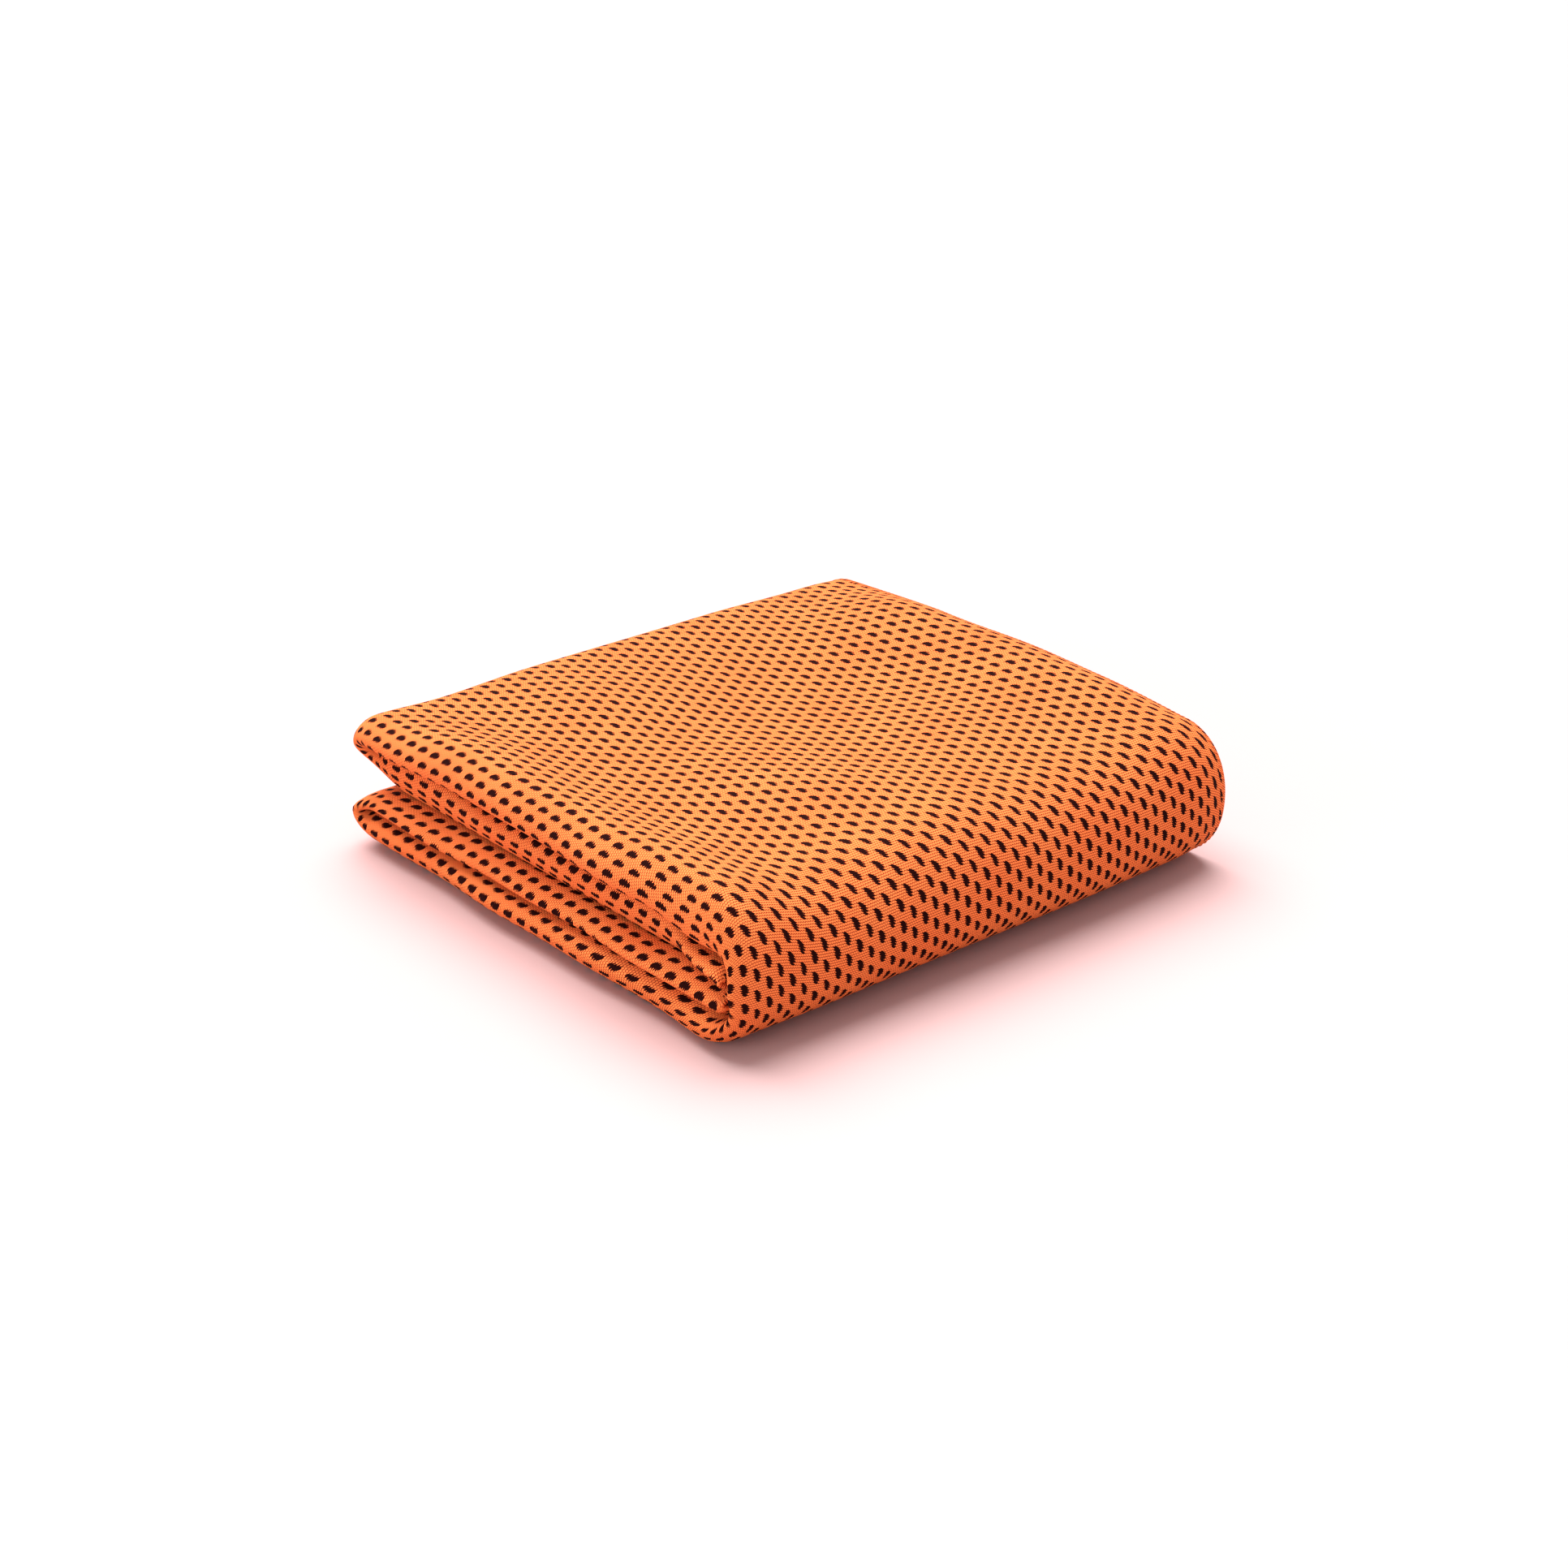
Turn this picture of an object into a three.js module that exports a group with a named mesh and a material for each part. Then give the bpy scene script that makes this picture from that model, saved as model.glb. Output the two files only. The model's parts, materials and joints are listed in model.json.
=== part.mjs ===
import * as THREE from 'three';

// A knitted towel folded to a pocket-size square, in mm. X runs across the cloth, from the lengthwise
// fold at -X to the open long edges at +X. Y runs along the strip, from the big wrap at -Y to the two
// small loops at +Y. Z is up, and the origin is under the middle of the stack, on the table.

// Outside size of the folded stack, seen from above.
const WIDTH = 150;
const LENGTH = 147;

// The cloth, and the room left between neighbouring pieces.
const CLOTH = 1.0;
const GAP = 0.3;

// Four strip layers, each of two plies joined by a rounded lengthwise fold. Layer 1 is on top. These are
// the heights between which layers 1 to 4 lie. The towel opens like a book between layers 2 and 3.
const LEVELS = [38.5, 27.5, 16.5, 9.5, 0];
const LAYERS = LEVELS.length - 1;
const HEIGHT = LEVELS[0];
const BOOK_HEIGHT = LEVELS[2];

// Overlocked thread along the two long edges and the two ends of the cloth.
const BEAD = 2.0;

// Where the outer and inner plies turn: the loops at +Y and the wrap at -Y.
const INNER_LOOP_Y = LENGTH / 2 - 5;
const OUTER_WRAP_Y = -LENGTH / 2 + HEIGHT / 2;
const INNER_WRAP_Y = -LENGTH / 2 + 14.5;

// Layers 2 and 3 stop short of the wrap.
const FREE_END_Y = -LENGTH / 2 + 13;

const ARC_STEPS = 28;
const FOLD_RIGHT = -WIDTH / 2 + 6;
const PLY_LEFT = FOLD_RIGHT + GAP;
const PLY_RIGHT = WIDTH / 2 - BEAD - GAP;
const ORANGE = 0xf09a5c;
const DEEP_ORANGE = 0xe4703f;
const THREAD = 0xd9683a;

// Lowest and highest point of a layer, with half the clearance left to the layers below and above it.
function layerSpan(layer) {
  const low = LEVELS[layer] + (layer === LAYERS ? 0 : GAP / 2);
  const high = LEVELS[layer - 1] - (layer === 1 ? 0 : GAP / 2);
  return [low, high];
}

// Mid-height of the upper or lower ply of a layer.
function plyHeight(layer, upper) {
  const [low, high] = layerSpan(layer);
  return upper ? high - CLOTH / 2 : low + CLOTH / 2;
}

// The outer ply is on top in layers 1 and 3 and below in layers 2 and 4; the inner ply is the other one.
function heightOf(layer, face) {
  const outerIsUpper = layer % 2 === 1;
  return plyHeight(layer, face === 'outer' ? outerIsUpper : !outerIsUpper);
}

// Points of an arc in the Y-Z plane, from one angle to another, 0 pointing to +Y and 90 degrees up.
function arc(y, z, radius, from, to) {
  const points = [];
  for (let i = 0; i <= ARC_STEPS; i += 1) {
    const angle = from + ((to - from) * i) / ARC_STEPS;
    points.push([y + radius * Math.cos(angle), z + radius * Math.sin(angle)]);
  }
  return points;
}

// A closed outline of one cloth thickness around an open middle line.
function outline(line) {
  const left = [];
  const right = [];
  line.forEach(([a, b], i) => {
    const before = line[Math.max(i - 1, 0)];
    const after = line[Math.min(i + 1, line.length - 1)];
    const along = new THREE.Vector2(after[0] - before[0], after[1] - before[1]).normalize();
    const side = new THREE.Vector2(-along.y, along.x).multiplyScalar(CLOTH / 2);
    left.push(new THREE.Vector2(a + side.x, b + side.y));
    right.unshift(new THREE.Vector2(a - side.x, b - side.y));
  });
  return new THREE.Shape([...left, ...right]);
}

function extrude(shape, depth) {
  return new THREE.ExtrudeGeometry(shape, { depth, bevelEnabled: false, curveSegments: 1 });
}

// Cloth that follows a line in the Y-Z plane, between two places across the towel.
function across(line, fromX, toX) {
  const turn = new THREE.Matrix4().makeBasis(
    new THREE.Vector3(0, 1, 0),
    new THREE.Vector3(0, 0, 1),
    new THREE.Vector3(1, 0, 0),
  );
  turn.setPosition(fromX, 0, 0);
  return extrude(outline(line), toX - fromX).applyMatrix4(turn);
}

// Cloth that follows a line in the X-Z plane, between two places along the towel.
function along(line, fromY, toY) {
  const turn = new THREE.Matrix4().makeBasis(
    new THREE.Vector3(1, 0, 0),
    new THREE.Vector3(0, 0, 1),
    new THREE.Vector3(0, -1, 0),
  );
  turn.setPosition(0, toY, 0);
  return extrude(outline(line), toY - fromY).applyMatrix4(turn);
}

// The rounded lengthwise fold of a layer, as a line in the X-Z plane.
function foldLine(layer) {
  const top = plyHeight(layer, true);
  const bottom = plyHeight(layer, false);
  const radius = (top - bottom) / 2;
  const x = -WIDTH / 2 + CLOTH / 2 + radius;
  const turn = arc(x, (top + bottom) / 2, radius, Math.PI / 2, (3 * Math.PI) / 2);
  return [[FOLD_RIGHT, top], ...turn, [FOLD_RIGHT, bottom]];
}

// Where a pair of layers starts to turn into its loop.
function loopStart(layer, face) {
  const upper = layer <= 2 ? 1 : 3;
  const [, high] = layerSpan(upper);
  const [low] = layerSpan(upper + 1);
  return face === 'outer' ? LENGTH / 2 - (high - low) / 2 : INNER_LOOP_Y;
}

// Where a layer's straight part starts and ends along the towel.
function straightSpan(layer, face) {
  const free = layer === 2 || layer === 3;
  const wrap = face === 'outer' ? OUTER_WRAP_Y : INNER_WRAP_Y;
  return [free ? FREE_END_Y : wrap, loopStart(layer, face)];
}

// The loop that joins layers 1 and 2, or 3 and 4, as a line from the upper to the lower of the two.
function loopLine(upperLayer, face) {
  const top = heightOf(upperLayer, face);
  const bottom = heightOf(upperLayer + 1, face);
  return arc(loopStart(upperLayer, face), (top + bottom) / 2, (top - bottom) / 2, Math.PI / 2, -Math.PI / 2);
}

// The upper or lower part of the wrap that joins layers 1 and 4. Each stops just short of the height at
// which the towel opens.
function wrapLine(half, face) {
  const top = heightOf(1, face);
  const bottom = heightOf(4, face);
  const middle = (top + bottom) / 2;
  const radius = (top - bottom) / 2;
  const y = face === 'outer' ? OUTER_WRAP_Y : INNER_WRAP_Y;
  const edge = half === 'upper' ? BOOK_HEIGHT + GAP / 2 : BOOK_HEIGHT - GAP / 2;
  const stop = Math.PI + Math.asin((middle - edge) / radius);
  return half === 'upper'
    ? arc(y, middle, radius, Math.PI / 2, stop)
    : arc(y, middle, radius, stop, (3 * Math.PI) / 2);
}

const towel = new THREE.Group();
towel.name = 'quick_dry_towel';

function add(name, geometry, color) {
  const material = new THREE.MeshStandardMaterial({ color, roughness: 0.92, metalness: 0 });
  const mesh = new THREE.Mesh(geometry, material);
  mesh.name = name;
  towel.add(mesh);
}

// The flat plies and the lengthwise fold of each layer.
for (let layer = 1; layer <= LAYERS; layer += 1) {
  for (const face of ['outer', 'inner']) {
    const z = heightOf(layer, face);
    const [from, to] = straightSpan(layer, face);
    const start = from === FREE_END_Y ? from + BEAD + GAP : from + GAP;
    const ply = across([[start, z], [to - GAP, z]], PLY_LEFT, PLY_RIGHT);
    add(`layer_${layer}_${face}_ply`, ply, ORANGE);
  }
  const [from, to] = straightSpan(layer, 'outer');
  const start = from === FREE_END_Y ? from + BEAD + GAP : from + GAP;
  add(`layer_${layer}_side_fold`, along(foldLine(layer), start, to - GAP), DEEP_ORANGE);
}

// The two loops at +Y, each of two nested plies. The outer ply closes the end over the side folds.
for (const [place, upperLayer] of [['upper', 1], ['lower', 3]]) {
  for (const face of ['outer', 'inner']) {
    const left = face === 'outer' ? -WIDTH / 2 : PLY_LEFT;
    const loop = across(loopLine(upperLayer, face), left, PLY_RIGHT);
    add(`loop_${place}_${face}`, loop, face === 'outer' ? ORANGE : DEEP_ORANGE);
  }
}

// The big wrap at -Y, in an upper and a lower part, so that the towel opens like a book.
for (const half of ['upper', 'lower']) {
  for (const face of ['outer', 'inner']) {
    const left = face === 'outer' ? -WIDTH / 2 : PLY_LEFT;
    const wrap = across(wrapLine(half, face), left, PLY_RIGHT);
    add(`wrap_${half}_${face}`, wrap, face === 'outer' ? ORANGE : DEEP_ORANGE);
  }
}

// Overlocked thread on the long edges. Each runs from a free end, round its loop, to the wrap's middle.
for (const face of ['outer', 'inner']) {
  const upper = [
    [FREE_END_Y, heightOf(2, face)],
    ...loopLine(1, face).reverse(),
    ...wrapLine('upper', face),
  ];
  const lower = [
    [FREE_END_Y, heightOf(3, face)],
    ...loopLine(3, face),
    ...wrapLine('lower', face).reverse(),
  ];
  add(`edge_thread_upper_${face}`, across(upper, WIDTH / 2 - BEAD, WIDTH / 2), THREAD);
  add(`edge_thread_lower_${face}`, across(lower, WIDTH / 2 - BEAD, WIDTH / 2), THREAD);
}

// Overlocked thread on the two ends of the cloth, round both plies of layers 2 and 3.
for (const layer of [2, 3]) {
  const line = [
    [PLY_RIGHT, plyHeight(layer, true)],
    ...foldLine(layer).slice(1, -1),
    [PLY_RIGHT, plyHeight(layer, false)],
  ];
  add(`end_thread_layer_${layer}`, along(line, FREE_END_Y, FREE_END_Y + BEAD), THREAD);
}

export default towel;
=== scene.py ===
import json
import math

import bpy
import numpy as np
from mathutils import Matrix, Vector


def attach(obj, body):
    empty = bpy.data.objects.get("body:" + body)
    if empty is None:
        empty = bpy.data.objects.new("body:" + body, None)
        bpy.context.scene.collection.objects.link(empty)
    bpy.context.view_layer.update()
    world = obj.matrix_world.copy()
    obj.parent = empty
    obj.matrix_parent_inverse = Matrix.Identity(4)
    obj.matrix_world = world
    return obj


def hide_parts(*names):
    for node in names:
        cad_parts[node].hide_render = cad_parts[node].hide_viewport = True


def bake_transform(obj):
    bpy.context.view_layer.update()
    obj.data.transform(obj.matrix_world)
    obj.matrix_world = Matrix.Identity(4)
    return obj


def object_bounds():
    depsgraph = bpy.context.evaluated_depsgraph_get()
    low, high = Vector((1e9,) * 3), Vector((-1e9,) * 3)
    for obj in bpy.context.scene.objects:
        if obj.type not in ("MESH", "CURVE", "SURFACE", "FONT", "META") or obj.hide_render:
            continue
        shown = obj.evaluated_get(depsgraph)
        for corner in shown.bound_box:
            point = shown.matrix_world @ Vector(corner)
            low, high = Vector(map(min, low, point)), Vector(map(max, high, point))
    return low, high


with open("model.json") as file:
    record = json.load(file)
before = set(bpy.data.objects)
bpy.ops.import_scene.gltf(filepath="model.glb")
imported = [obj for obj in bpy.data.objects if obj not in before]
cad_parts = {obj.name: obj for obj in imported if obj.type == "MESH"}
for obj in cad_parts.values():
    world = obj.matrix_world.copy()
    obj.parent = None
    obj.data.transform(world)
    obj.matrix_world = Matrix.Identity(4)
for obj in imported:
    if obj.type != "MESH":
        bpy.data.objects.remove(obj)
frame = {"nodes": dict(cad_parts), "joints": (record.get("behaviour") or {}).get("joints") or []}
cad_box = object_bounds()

# ---------------------------------------------------------------------------------------------------
# The towel cloth. One sheet of quick dry polyester, weft knitted in two colours on a jacquard machine.
# It is folded once lengthwise, its two ends are turned in to the middle, and it is folded in half
# again, so it lies in four layers of two plies. Nothing holds the folds but the cloth's own weight.
# ---------------------------------------------------------------------------------------------------
MM = 0.001                    # sizes are in mm; +X runs to the long edges, +Y from the wrap to the loops
HINGE = frame["joints"][0]["pos_m"]       # in metres, on the outside of the big wrap
PLY = 0.9                     # thickness of the knit
SKIN = 0.5                    # from the middle of the outermost ply to the outside of the stack
HALF_ACROSS = round(cad_box[1][0] / MM, 3)
HALF_ALONG = round(cad_box[1][1] / MM, 3) - SKIN      # to the middle of the outermost ply
FOLD_REACH = 5.6              # how far the rounded lengthwise fold stands out from the flat plies
FOLD_ROOT = -HALF_ACROSS + FOLD_REACH
BOOK = round(HINGE[2] / MM, 3)            # height at which the stack opens, between layers 2 and 3
CLEAR = 0.72                  # from a boundary between layers to the middle of the ply beside it
UPPER_REACH, LOWER_REACH = 10.0, 7.5      # how far the two small loops reach beyond the flat plies
WRAP_REACH = 17.5             # how far the big wrap reaches beyond them
LOOP_CORE = 3.0               # how far the inner ply of a small loop reaches
SHORT = 1.1                   # how much shorter the stack is at its loops than at its wrap
UPPER_LOOP = HALF_ALONG - SHORT - UPPER_REACH
LOWER_LOOP = HALF_ALONG - SHORT - LOWER_REACH
WRAP = WRAP_REACH - HALF_ALONG
TUCK = 1.9                    # from the wrap's inner ply to the free ends tucked in behind it
FREE_END = WRAP - 11.9
LATE_TURN = 9.0               # how much later the wrap's inner ply turns down at the lengthwise folds
NOTCH = 7.0                   # how far the two small loops part below and above their rounded ends
SEAM_LIFT = 0.25              # how much the seams lift the lowest ply at the long edges
SEAM_ROOM = 0.3               # extra space beside the opening for the seams
OUTER_SQUARE, INNER_SQUARE = 2.15, 2.3    # how square the wrap turns; 2 would be a plain ellipse
CURL, CURL_WIDTH = 3.4, 15.0  # how far, and over what width, the outermost ply rolls in


def ease(low, high, value):
    """0 at low, 1 at high, and a smooth rise between."""
    t = np.clip((value - low) / (high - low), 0.0, 1.0)
    return t * t * (3.0 - 2.0 * t)


def hump(at, middle, size):
    """A soft round hump of height 1."""
    return np.exp(-(((at - middle) / size) ** 2))


def top_height(x, y):
    """The top of the stack above the table. It is ridged and dished, less so toward the loops."""
    near = 1.0 - ease(26.0, 66.0, y)
    ridge_over_folds = (0.6 + 2.2 * near) * hump(x, -69.0, 11.0)
    valley_behind_ridge = (0.2 + 0.9 * near) * hump(x, -46.0, 14.0)
    far_swelling = 1.5 * hump(x, -32.0, 17.0) * hump(y, 42.0, 18.0)
    near_swelling = 1.2 * hump(x, -18.0, 15.0) * hump(y, -34.0, 18.0)
    broad_dish = 3.3 * hump(x, 10.0, 34.0) * hump(y, 8.0, 30.0)
    crest_by_long_edges = 4.4 * hump(x, 66.0, 17.0) * ease(-74.0, -30.0, y) * near
    slope_to_folds = 1.1 * ease(0.0, -60.0, x) * (1.0 - 0.6 * near)
    slope_to_long_edges = 0.8 * ease(30.0, 60.0, x) * (1.0 - near)
    ripples = 0.25 * np.sin(x / 9.0 + y / 13.0) + 0.2 * np.sin(x / 14.0 - y / 8.0 + 1.7)
    height = 35.0 + ridge_over_folds - valley_behind_ridge + far_swelling + near_swelling
    height += crest_by_long_edges - broad_dish - slope_to_folds - slope_to_long_edges
    return height + near * ripples


def edge_curl(x, y):
    """How far the outermost ply rolls in toward the stack as it nears the long edges."""
    toward_edge = np.clip((x - HALF_ACROSS + CURL_WIDTH) / CURL_WIDTH, 0.0, 1.2)
    return CURL * (1.0 - 0.75 * ease(30.0, UPPER_LOOP, y)) * toward_edge ** 2


def at_folds(x):
    """1 over the lengthwise folds, 0 over the flat plies."""
    return 1.0 - ease(-64.0, -30.0, x)


def upper_boundary(x, y):
    """Height between layers 1 and 2: the first fold's lip over the folds, halfway up elsewhere."""
    lip = 26.2 - 0.9 * ease(18.0, -40.0, y) - 3.0 * ease(-44.0, -60.0, y)
    return at_folds(x) * lip + (1.0 - at_folds(x)) * (BOOK + top_height(x, y)) / 2.0


def lower_boundary(x, y):
    """Height between layers 3 and 4, a little higher over the folds."""
    over_folds = 9.7 + 0.9 * ease(20.0, -30.0, y) * ease(-66.0, -40.0, y)
    return at_folds(x) * over_folds + (1.0 - at_folds(x)) * 8.4


def top_ply(x, y):
    """Height of the uppermost ply's middle."""
    return top_height(x, y) - edge_curl(x, y) - CLEAR


def bottom_ply(x):
    """Height of the lowest ply's middle, which the seams lift a little at the long edges."""
    return SKIN + SEAM_LIFT * ease(62.0, 69.0, x)


def opening_gap(x, y):
    """From the opening to the middle of the ply beside it, wider at the long edges and the free ends."""
    return CLEAR + SEAM_ROOM * np.maximum(ease(58.0, 68.0, x), ease(-54.0, -62.0, y))


def arch(y0, reach, low, high, angle, square=2.0):
    """A rounded turn from one height to another, angle 0 pointing to +Y and 90 degrees up."""
    c, s = np.cos(angle), np.sin(angle)
    c = np.sign(c) * np.abs(c) ** (2.0 / square)
    s = np.sign(s) * np.abs(s) ** (2.0 / square)
    return y0 + reach * c, (low + high) / 2.0 + (high - low) / 2.0 * s


def shallower(x):
    """How much less the wrap reaches by the long edges."""
    return 1.2 * ease(25.0, 76.0, x)


def inner_turn(x):
    """Where the wrap's inner ply begins to turn down, and how far it then reaches."""
    late = LATE_TURN * (1.0 - ease(-66.0, -44.0, x))
    inside_outer_ply = 2.8 + 1.4 * ease(-64.0, -40.0, x)
    return WRAP - late, WRAP_REACH - inside_outer_ply - shallower(x) - late


def share_inside_wrap(x, y):
    """Share of their thickness that layers 2 and 3 keep where they run in under the wrap."""
    start, reach = inner_turn(x)
    t = np.clip((start - y) / (reach - PLY), 0.0, 0.99)
    return (1.0 - t ** INNER_SQUARE) ** (1.0 / INNER_SQUARE)


def tucked_layer_run(y, x, upper):
    """The flat of layer 2 or 3, whose free end is tucked in: outer and inner ply, as (y, z) pairs."""
    start, reach = inner_turn(x)
    y = y + (start - reach + TUCK - FREE_END) * ease(FREE_END + 30.0, FREE_END, y)
    loop = UPPER_LOOP if upper else LOWER_LOOP
    up = 1.0 if upper else -1.0
    boundary = upper_boundary(x, y) if upper else lower_boundary(x, y)
    beside_opening = BOOK + up * opening_gap(x, y)
    beside_boundary = BOOK + (boundary - BOOK) * share_inside_wrap(x, y) - up * CLEAR
    return (y - NOTCH * ease(loop - 40.0, loop, y), beside_opening), (y, beside_boundary)


def outer_layer_run(y, x, upper):
    """The flat of layer 1 or 4, on the outside of the stack: outer and inner ply, as (y, z) pairs."""
    start = inner_turn(x)[0]
    inner_y = y + (start - WRAP) * ease(WRAP + 40.0, WRAP, y)
    if upper:
        return (y, top_ply(x, y)), (inner_y, upper_boundary(x, inner_y) + CLEAR)
    return (y, bottom_ply(x)), (inner_y, lower_boundary(x, inner_y) - CLEAR)


def loop_run(angle, x, upper):
    """One of the two small loops, where the strip doubles back on itself."""
    y = (UPPER_LOOP if upper else LOWER_LOOP) + 0.0 * x
    boundary = upper_boundary(x, y) if upper else lower_boundary(x, y)
    inner = arch(y, LOOP_CORE, boundary - CLEAR, boundary + CLEAR, angle)
    up = 1.0 if upper else -1.0
    parted = y - NOTCH * np.clip(-up * np.sin(angle), 0.0, 1.0) ** 2
    beside_opening = BOOK + up * opening_gap(x, y)
    if upper:
        reach = UPPER_REACH - 0.6 * edge_curl(x, y)
        return arch(parted, reach, beside_opening, top_ply(x, y), angle), inner
    return arch(parted, LOWER_REACH, bottom_ply(x), beside_opening, angle), inner


def wrap_run(angle, x):
    """The big wrap, where the whole strip turns from the top layer to the bottom one."""
    y = WRAP + 0.0 * x
    reach = WRAP_REACH - shallower(x) - 0.8 * edge_curl(x, y)
    outer = arch(y, reach, bottom_ply(x), top_ply(x, y), angle, OUTER_SQUARE)
    start, inner_reach = inner_turn(x)
    low, high = lower_boundary(x, start) - CLEAR, upper_boundary(x, start) + CLEAR
    inner = arch(start, inner_reach, low, high, angle, INNER_SQUARE)
    return outer, inner


QUARTER = math.pi / 2
STRIP = [                     # each stretch of the strip: its name, its first and last place, its rows
    ("layer_2", FREE_END, UPPER_LOOP, 56),
    ("upper_loop", -QUARTER, QUARTER, 26),
    ("layer_1", UPPER_LOOP, WRAP, 56),
    ("wrap", QUARTER, 3 * QUARTER, 40),
    ("layer_4", WRAP, LOWER_LOOP, 56),
    ("lower_loop", -QUARTER, QUARTER, 22),
    ("layer_3", LOWER_LOOP, FREE_END, 56),
]


def strip_stations():
    """Stations along the strip, from one free end to the other, as (stretch, where) pairs."""
    stations = []
    for stretch, first, last, rows in STRIP:
        stations += [(stretch, where) for where in np.linspace(first, last, rows)[:-1]]
    return stations + [("layer_3", FREE_END)]


def station_plies(stretch, where, x):
    """Outer and inner ply at one station, for an array of places across the towel."""
    where = where + 0.0 * x
    upper = stretch in ("layer_1", "layer_2", "upper_loop")
    if stretch == "wrap":
        return wrap_run(where, x)
    if stretch in ("upper_loop", "lower_loop"):
        return loop_run(where, x, upper)
    if stretch in ("layer_1", "layer_4"):
        return outer_layer_run(where, x, upper)
    return tucked_layer_run(where, x, upper)


def fold_shape(y, z):
    """Reach of the lengthwise fold, and how far its upper half leans back under the fold above."""
    free = ease(-68.0, -46.0, y)
    uneven = 0.45 * math.sin(y / 15.0 + z / 3.1) + 0.3 * math.sin(y / 6.3 - z / 2.3 + 1.0)
    set_back = 3.0 * hump(z, 21.0, 4.5) - 0.7 * hump(z, 32.0, 4.0)
    lean = 0.28 + free * (0.3 * hump(z, 21.0, 5.0) + 0.26 * hump(z, 4.5, 4.0))
    return FOLD_REACH + uneven - free * set_back, lean


CLOTH_LENGTH = 600.0          # about, with the towel opened out
OUTER_COLUMNS, FOLD_COLUMNS, INNER_COLUMNS = 60, 19, 46


def folded_cloth(stations):
    """Places of the whole sheet: one row per station, one column across the cloth.

    The long edges wander a little and stop just inside the width of the stack.
    """
    across = np.linspace(0.0, 1.0, OUTER_COLUMNS)
    back = np.linspace(0.0, 1.0, INNER_COLUMNS)
    turn = np.linspace(90.0, 270.0, FOLD_COLUMNS + 2)[1:-1] * math.pi / 180.0
    rows = []
    for index, (stretch, where) in enumerate(stations):
        run = index / len(stations) * CLOTH_LENGTH
        edge_outer = HALF_ACROSS - 1.0 + 0.5 * math.sin(run / 21.0)
        edge_inner = HALF_ACROSS - 1.6 + 0.6 * math.sin(run / 17.0 + 2.0)
        x_outer = edge_outer + (FOLD_ROOT - edge_outer) * across
        x_inner = FOLD_ROOT + (edge_inner - FOLD_ROOT) * back
        outer_y, outer_z = station_plies(stretch, where, x_outer)[0]
        inner_y, inner_z = station_plies(stretch, where, x_inner)[1]
        root_outer, root_inner = station_plies(stretch, where, np.array([FOLD_ROOT]))
        mid_y, mid_z = [(a[0] + b[0]) / 2.0 for a, b in zip(root_outer, root_inner)]
        half_y, half_z = [(a[0] - b[0]) / 2.0 for a, b in zip(root_outer, root_inner)]
        upright = abs(half_z / np.hypot(half_y, half_z))
        reach, lean = fold_shape(mid_y, mid_z)
        fold_x = FOLD_ROOT + reach * np.cos(turn) * (1.0 - lean * np.sin(turn) * upright)
        fold_y = mid_y + half_y * np.sin(turn)
        fold_z = mid_z + half_z * np.sin(turn)
        outer = np.stack([x_outer, outer_y, outer_z], 1)
        fold = np.stack([fold_x, fold_y, fold_z], 1)
        inner = np.stack([x_inner, inner_y, inner_z], 1)
        rows.append(np.concatenate([outer, fold, inner]))
    return np.array(rows)


def cloth_grain(places, home):
    """Where each point is on the flat cloth, along and across it, turned a little off the folds."""
    crest = OUTER_COLUMNS + FOLD_COLUMNS // 2
    steps = np.linalg.norm(np.diff(places, axis=0), axis=2)
    along = np.concatenate([np.zeros((1, places.shape[1])), np.cumsum(steps, axis=0)])
    along -= along[home]
    along[:, OUTER_COLUMNS:] = along[:, OUTER_COLUMNS - 1:OUTER_COLUMNS]
    steps = np.linalg.norm(np.diff(places, axis=1), axis=2)
    across = np.concatenate([np.zeros((places.shape[0], 1)), np.cumsum(steps, axis=1)], axis=1)
    across = across[:, crest:crest + 1] - across
    off = math.radians(3.0)
    return (
        along * math.cos(off) - across * math.sin(off),
        across * math.cos(off) + along * math.sin(off),
    )


def grid_mesh(name, places, grain=None, closed=False):
    """A mesh from rows of places in mm, with its grain as a UV map in metres."""
    rows, columns = places.shape[:2]
    index = np.arange(rows * columns).reshape(rows, columns)
    if closed:
        index = np.concatenate([index, index[:, :1]], axis=1)
    a, b, c, d = index[:-1, :-1], index[:-1, 1:], index[1:, 1:], index[1:, :-1]
    faces = np.stack([a, b, c, d], -1).reshape(-1, 4)
    mesh = bpy.data.meshes.new(name)
    mesh.from_pydata((places.reshape(-1, 3) * MM).tolist(), [], faces.tolist())
    if grain is not None:
        layer = mesh.uv_layers.new(name="grain")
        flat = np.stack([grain[0].ravel(), grain[1].ravel()], 1) * MM
        corners = np.empty(len(mesh.loops), dtype=np.int64)
        mesh.loops.foreach_get("vertex_index", corners)
        layer.data.foreach_set("uv", flat[corners].ravel())
    mesh.polygons.foreach_set("use_smooth", [True] * len(mesh.polygons))
    mesh.update()
    made = bpy.data.objects.new(name, mesh)
    bpy.context.scene.collection.objects.link(made)
    return made


def linear(code):
    """sRGB hex to the linear colour that a shader takes."""
    parts = [int(code[i:i + 2], 16) / 255.0 for i in (0, 2, 4)]
    return [c / 12.92 if c <= 0.04045 else ((c + 0.055) / 1.055) ** 2.4 for c in parts] + [1.0]


def node(material, kind, links, output=0, **settings):
    """Adds a shader node and returns one output. links is input to an output or to a plain value.

    The two colours of a Mix node are its inputs 6 and 7, and the mixed colour is its output 2.
    """
    made = material.node_tree.nodes.new(kind)
    for key, value in settings.items():
        setattr(made, key, value)
    for key, value in links.items():
        if isinstance(value, bpy.types.NodeSocket):
            material.node_tree.links.new(value, made.inputs[key])
        else:
            made.inputs[key].default_value = value
    return made.outputs[output]


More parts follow.
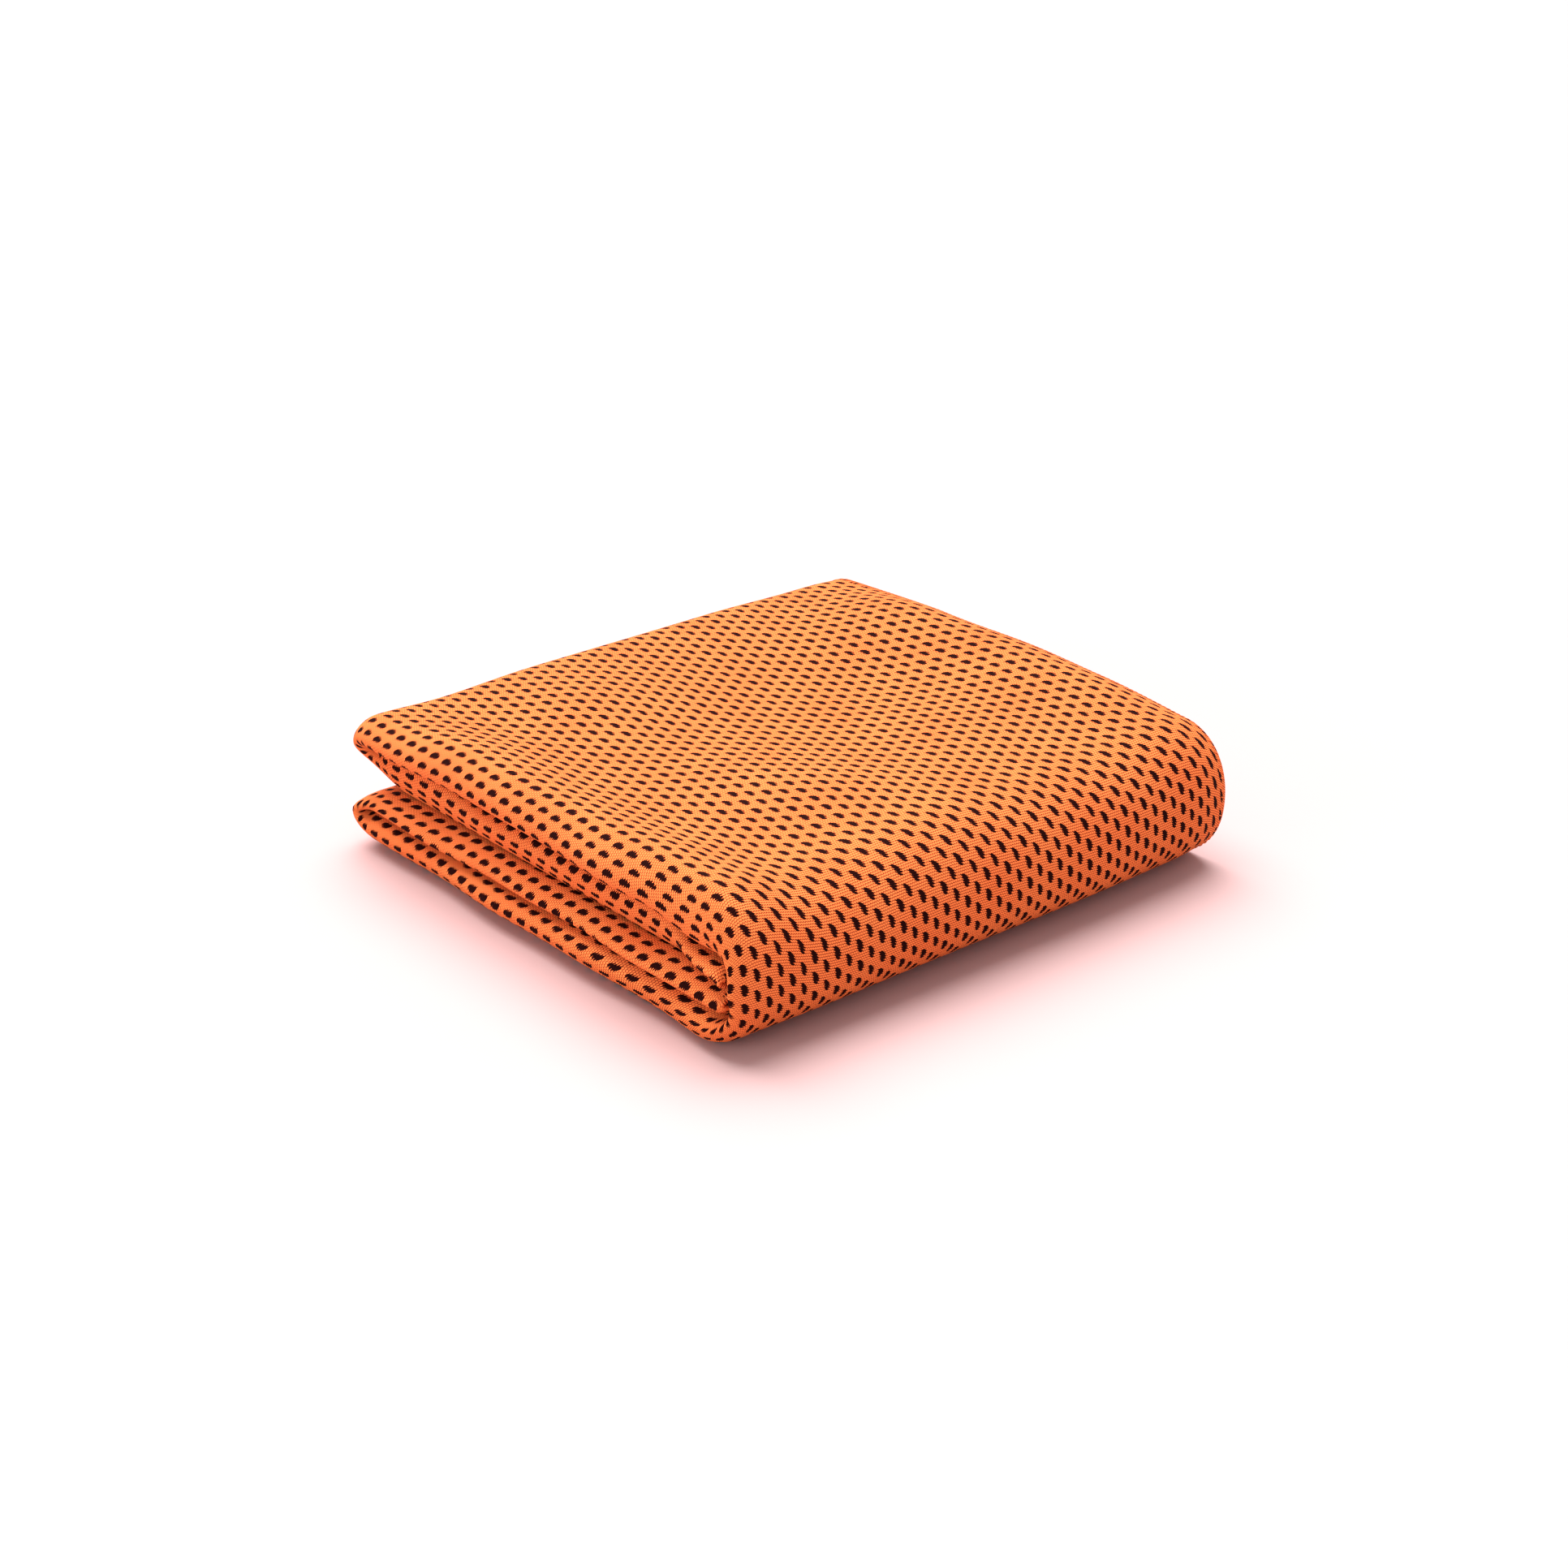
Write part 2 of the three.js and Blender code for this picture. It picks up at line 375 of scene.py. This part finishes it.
# The jacquard chart: for each row of stitches of a dot, its first stitch and the one after its last.
REPEAT_ROWS, REPEAT_STITCHES = 8, 10
STITCH_ALONG = 4.77 / REPEAT_ROWS         # real distance from one row of stitches to the next
STITCH_ACROSS = 6.2 / REPEAT_STITCHES     # real distance from one stitch of a row to the next
PLUMP_DOT = [(0.7, 2.6), (0.8, 3.4), (0.9, 3.6), (1.0, 3.6), (1.4, 3.1), (0, 0), (0, 0), (0, 0)]
SLIM_DOT = [(6.5, 8.0), (0, 0), (0, 0), (0, 0), (5.8, 7.4), (5.9, 8.2), (6.0, 8.4), (6.1, 8.4)]
INSIDE_ROW = 0.03             # share of a repeat that keeps each row clear of the chart's steps
TOOTH = 1.1                   # how far a stitch leans sideways along its row, in stitches
CLOUDS_PER_METRE = 60.0       # patches of slightly lighter and darker dye, about 17 mm apart


def chart_mask(material, row_share, stitch_share, chart):
    """1 where the chart knits the dark yarn. The shares are of one repeat, along and across."""
    limits = node(material, "ShaderNodeValToRGB", {"Fac": row_share})
    ramp = limits.node.color_ramp
    ramp.interpolation = "CONSTANT"
    while len(ramp.elements) < len(chart):
        ramp.elements.new(0.5)
    for number, (first, end) in enumerate(chart):
        ramp.elements[number].position = number / REPEAT_ROWS
        ramp.elements[number].color = (first / REPEAT_STITCHES, end / REPEAT_STITCHES, 0.0, 1.0)
    first_stitch = node(material, "ShaderNodeSeparateColor", {"Color": limits})
    end_stitch = first_stitch.node.outputs[1]
    after = node(material, "ShaderNodeMath", {0: stitch_share, 1: first_stitch}, operation="GREATER_THAN")
    before = node(material, "ShaderNodeMath", {0: stitch_share, 1: end_stitch}, operation="LESS_THAN")
    return node(material, "ShaderNodeMath", {0: after, 1: before}, operation="MULTIPLY")


def knitted_polyester():
    """Matt filament yarn in small loops, orange with near-black dots, with painted red-brown shade in the
    gaps between the loops.
    """
    material = bpy.data.materials.new("two_colour_knitted_polyester")
    material.use_nodes = True
    grain = node(material, "ShaderNodeUVMap", {}, uv_map="grain")
    grain_along = node(material, "ShaderNodeSeparateXYZ", {0: grain})
    grain_across = grain_along.node.outputs[1]
    row = node(material, "ShaderNodeMath", {0: grain_along, 1: STITCH_ALONG * MM}, operation="DIVIDE")
    stitch = node(material, "ShaderNodeMath", {0: grain_across, 1: STITCH_ACROSS * MM}, operation="DIVIDE")
    in_row = node(material, "ShaderNodeMath", {0: row}, operation="FRACT")
    row_number = node(material, "ShaderNodeMath", {0: row}, operation="FLOOR")

    # The dots, knitted row by row from the chart.
    row_share = node(material, "ShaderNodeMath", {0: row_number, 1: REPEAT_ROWS}, operation="DIVIDE")
    row_share = node(material, "ShaderNodeMath", {0: row_share}, operation="FRACT")
    row_share = node(material, "ShaderNodeMath", {0: row_share, 1: INSIDE_ROW}, operation="ADD")
    lean = node(material, "ShaderNodeMath", {0: 0.5, 1: in_row}, operation="SUBTRACT")
    lean = node(material, "ShaderNodeMath", {0: lean, 1: TOOTH}, operation="MULTIPLY")
    leaning = node(material, "ShaderNodeMath", {0: stitch, 1: lean}, operation="ADD")
    leaning = node(material, "ShaderNodeMath", {0: leaning, 1: REPEAT_STITCHES}, operation="DIVIDE")
    stitch_share = node(material, "ShaderNodeMath", {0: leaning}, operation="FRACT")
    plump = chart_mask(material, row_share, stitch_share, PLUMP_DOT)
    slim = chart_mask(material, row_share, stitch_share, SLIM_DOT)
    dots = node(material, "ShaderNodeMath", {0: plump, 1: slim}, operation="MAXIMUM")

    # The loops of yarn, half a stitch to the side in every other row, with a hollow between them; the hollow
    # gives the bump and also the mask for painted shade.
    half_row = node(material, "ShaderNodeMath", {0: row_number, 1: 0.5}, operation="MULTIPLY")
    half_stitch = node(material, "ShaderNodeMath", {0: half_row}, operation="FRACT")
    side = node(material, "ShaderNodeMath", {0: stitch, 1: half_stitch}, operation="ADD")
    side = node(material, "ShaderNodeMath", {0: side, 1: 2.0 * math.pi}, operation="MULTIPLY")
    side = node(material, "ShaderNodeMath", {0: side}, operation="COSINE")
    side = node(material, "ShaderNodeMath", {0: side, 1: 0.5, 2: 0.5}, operation="MULTIPLY_ADD")
    end = node(material, "ShaderNodeMath", {0: in_row, 1: 2.0 * math.pi}, operation="MULTIPLY")
    end = node(material, "ShaderNodeMath", {0: end}, operation="COSINE")
    end = node(material, "ShaderNodeMath", {0: end, 1: 0.5, 2: 0.5}, operation="MULTIPLY_ADD")
    hollow = node(material, "ShaderNodeMath", {0: side, 1: end}, operation="MULTIPLY")
    yarn = node(material, "ShaderNodeMath", {0: 1.0, 1: hollow}, operation="SUBTRACT")
    # Painted shade: where the yarn dips into the hollow between loops, the colour is turned toward
    # red-brown.
    painted_gap_shade = node(
        material, "ShaderNodeMapRange",
        {"Value": yarn, "From Min": 0.88, "From Max": 0.42, "To Min": 0.0, "To Max": 1.0},
    )

    # The colours: two near shades of orange in soft clouds, painted red-brown shade in the hollows between
    # loops, and the dots over both.
    cloud = node(material, "ShaderNodeTexNoise", {"Vector": grain, "Scale": CLOUDS_PER_METRE, "Detail": 3.0})
    shade = node(material, "ShaderNodeMapRange", {"Value": cloud, "From Min": 0.3, "From Max": 0.7})
    orange = node(
        material, "ShaderNodeMix", {"Factor": shade, 6: linear("FC8043"), 7: linear("FE8A4A")},
        output=2, data_type="RGBA",
    )
    # Painted shade: dark red-brown mixed into the hollows between the loops.
    with_painted_gap_shade = node(
        material, "ShaderNodeMix", {"Factor": painted_gap_shade, 6: orange, 7: linear("8A1B10")},
        output=2, data_type="RGBA",
    )
    colour = node(
        material, "ShaderNodeMix", {"Factor": dots, 6: with_painted_gap_shade, 7: linear("210403")},
        output=2, data_type="RGBA",
    )
    relief = node(material, "ShaderNodeBump", {"Height": yarn, "Strength": 0.7, "Distance": 0.25 * MM})
    shader = material.node_tree.nodes["Principled BSDF"]
    material.node_tree.links.new(colour, shader.inputs["Base Color"])
    material.node_tree.links.new(relief, shader.inputs["Normal"])
    shader.inputs["Roughness"].default_value = 0.9
    shader.inputs["Specular IOR Level"].default_value = 0.05
    return material


stations = strip_stations()
cloth_places = folded_cloth(stations)
home_station = next(i for i, (stretch, y) in enumerate(stations) if stretch == "layer_1" and y < 5.0)
cloth = grid_mesh("towel_cloth", cloth_places, cloth_grain(cloth_places, home_station))
cloth.data.materials.append(knitted_polyester())
thickness = cloth.modifiers.new("knit_thickness", "SOLIDIFY")
thickness.thickness = PLY * MM
thickness.offset = 0.0
CLOTH_NODES = [name for name in frame["nodes"] if not name.startswith(("edge_thread", "end_thread"))]
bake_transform(cloth)
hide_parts(*CLOTH_NODES)

# ---------------------------------------------------------------------------------------------------
# The thread on the edges. The four cut edges are overlocked with plain orange polyester thread, wound
# tightly round the edge so that it cannot run. It is a seam on the cloth itself, held by nothing else.
# ---------------------------------------------------------------------------------------------------
THREAD = 0.13                 # radius of the thread
SEAM_WIDTH = 2.4              # how far the seam reaches in from the edge
SEAM_PITCH = 1.5              # along the edge, from one turn of the thread to the next
TURN_STEPS, THREAD_SIDES = 12, 5


def unit(vectors):
    """The same directions, each of length 1."""
    return vectors / np.linalg.norm(vectors, axis=1)[:, None]


def overlock(name, edge, beside):
    """Thread wound round a cloth edge. edge is the edge's places, beside the places just inside it."""
    length = np.concatenate([[0.0], np.cumsum(np.linalg.norm(np.diff(edge, axis=0), axis=1))])
    steps = int(length[-1] / SEAM_PITCH) * TURN_STEPS
    at = np.linspace(0.0, length[-1], steps)
    place = np.stack([np.interp(at, length, edge[:, k]) for k in range(3)], 1)
    inward = unit(np.stack([np.interp(at, length, (beside - edge)[:, k]) for k in range(3)], 1))
    along = unit(np.gradient(place, axis=0))
    proud = unit(np.cross(along, inward))
    phase = 2.0 * math.pi * np.arange(steps) / TURN_STEPS
    across = SEAM_WIDTH / 2.0 - (SEAM_WIDTH / 2.0 + THREAD) * np.cos(phase)
    lift = (PLY / 2.0 + THREAD) * np.sign(np.sin(phase)) * np.abs(np.sin(phase)) ** 0.6
    path = place + inward * across[:, None] + proud * lift[:, None]
    ahead = unit(np.gradient(path, axis=0))
    side = unit(np.cross(ahead, along + 0.01))
    up = np.cross(ahead, side)
    ring = 2.0 * math.pi * np.arange(THREAD_SIDES) / THREAD_SIDES
    tube = path[:, None] + THREAD * (
        side[:, None] * np.cos(ring)[None, :, None] + up[:, None] * np.sin(ring)[None, :, None]
    )
    return grid_mesh(name, tube, closed=True)


FIBRES_PER_METRE = 2200.0     # coarser than the real fibres, so that the twist shows


def sewing_thread():
    """Spun polyester sewing thread: matt and twisted, in light and dark orange fibres."""
    material = bpy.data.materials.new("spun_polyester_thread")
    material.use_nodes = True
    where = node(material, "ShaderNodeTexCoord", {}, output="Object")
    twist = node(material, "ShaderNodeTexNoise", {"Vector": where, "Scale": FIBRES_PER_METRE})
    colour = node(
        material, "ShaderNodeMix", {"Factor": twist, 6: linear("E0602C"), 7: linear("F58A4E")},
        output=2, data_type="RGBA",
    )
    relief = node(material, "ShaderNodeBump", {"Height": twist, "Strength": 0.4, "Distance": 0.05 * MM})
    shader = material.node_tree.nodes["Principled BSDF"]
    material.node_tree.links.new(colour, shader.inputs["Base Color"])
    material.node_tree.links.new(relief, shader.inputs["Normal"])
    shader.inputs["Roughness"].default_value = 0.8
    shader.inputs["Specular IOR Level"].default_value = 0.2
    return material


thread_look = sewing_thread()
LONG_EDGES = {"outer": (0, 2), "inner": (-1, -3)}
for ply, (edge_column, beside_column) in LONG_EDGES.items():
    seam = overlock("long_edge_seam_" + ply, cloth_places[:, edge_column], cloth_places[:, beside_column])
    seam.data.materials.append(thread_look)
    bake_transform(seam)
    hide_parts("edge_thread_upper_" + ply, "edge_thread_lower_" + ply)

FREE_ENDS = {2: (0, 2, "upper_half"), 3: (-1, -3, "lower_half")}
for layer, (edge_row, beside_row, half) in FREE_ENDS.items():
    seam = overlock(f"free_end_seam_layer_{layer}", cloth_places[edge_row], cloth_places[beside_row])
    seam.data.materials.append(thread_look)
    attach(seam, half)
    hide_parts(f"end_thread_layer_{layer}")

# ---------------------------------------------------------------------------------------------------
# Studio. A wide sheet of pale paper, a broad soft key light high above and a little behind, a weak
# fill from the side of the folds, even light from all round, and a long lens.
# ---------------------------------------------------------------------------------------------------
FLOOR = 3000.0                # half the width of the paper


def studio_paper():
    """Pale warm paper, quite matt, that turns white in full light and shows soft pink shadows."""
    material = bpy.data.materials.new("matt_pale_paper")
    material.use_nodes = True
    shader = material.node_tree.nodes["Principled BSDF"]
    shader.inputs["Base Color"].default_value = linear("C6A6A5")
    shader.inputs["Roughness"].default_value = 0.8
    shader.inputs["Specular IOR Level"].default_value = 0.1
    return material


floor_places = np.array([[[x, y, 0.0] for x in (-FLOOR, FLOOR)] for y in (-FLOOR, FLOOR)])
floor = grid_mesh("studio_floor", floor_places)
floor.data.materials.append(studio_paper())


def aim(lamp, place, at):
    """Puts a lamp at a place in metres, pointing at another."""
    made = bpy.data.objects.new(lamp.name, lamp)
    made.location = place
    made.rotation_euler = (Vector(at) - Vector(place)).to_track_quat("-Z", "Y").to_euler()
    bpy.context.scene.collection.objects.link(made)


key_lamp = bpy.data.lights.new("key", "SUN")
key_lamp.energy = 6.4
key_lamp.angle = math.radians(64.0)
aim(key_lamp, (0.12, 0.42, 1.0), (0, 0, 0))

fill_lamp = bpy.data.lights.new("fill", "AREA")
fill_lamp.size = 0.7
fill_lamp.energy = 5.5
aim(fill_lamp, (-1.3, 0.1, 0.35), (0, 0, 0.02))

world = bpy.data.worlds.new("studio_air")
world.use_nodes = True
world.node_tree.nodes["Background"].inputs["Color"].default_value = (1, 1, 1, 1)
world.node_tree.nodes["Background"].inputs["Strength"].default_value = 0.75
bpy.context.scene.world = world
bpy.context.scene.view_settings.view_transform = "Standard"

VIEW_AZIMUTH, VIEW_ELEVATION = math.radians(-40.1), math.radians(24.4)
VIEW_DISTANCE = 0.7053        # in metres, as the camera's other places
VIEW_CENTRE = np.array([0, 0, 0.018])
VIEW_LEFT, VIEW_UP = 0.0009, 0.0001
ahead = np.array([
    -math.sin(VIEW_AZIMUTH) * math.cos(VIEW_ELEVATION),
    math.cos(VIEW_AZIMUTH) * math.cos(VIEW_ELEVATION),
    -math.sin(VIEW_ELEVATION),
])
right = np.array([math.cos(VIEW_AZIMUTH), math.sin(VIEW_AZIMUTH), 0.0])
above = np.cross(right, ahead)
camera_data = bpy.data.cameras.new("camera")
camera_data.lens = 69.0
camera_data.sensor_width = 36.0
camera = bpy.data.objects.new("camera", camera_data)
camera.location = VIEW_CENTRE - ahead * VIEW_DISTANCE - right * VIEW_LEFT + above * VIEW_UP
camera.rotation_euler = (math.pi / 2 - VIEW_ELEVATION, 0.0, VIEW_AZIMUTH)
bpy.context.scene.collection.objects.link(camera)
bpy.context.scene.camera = camera
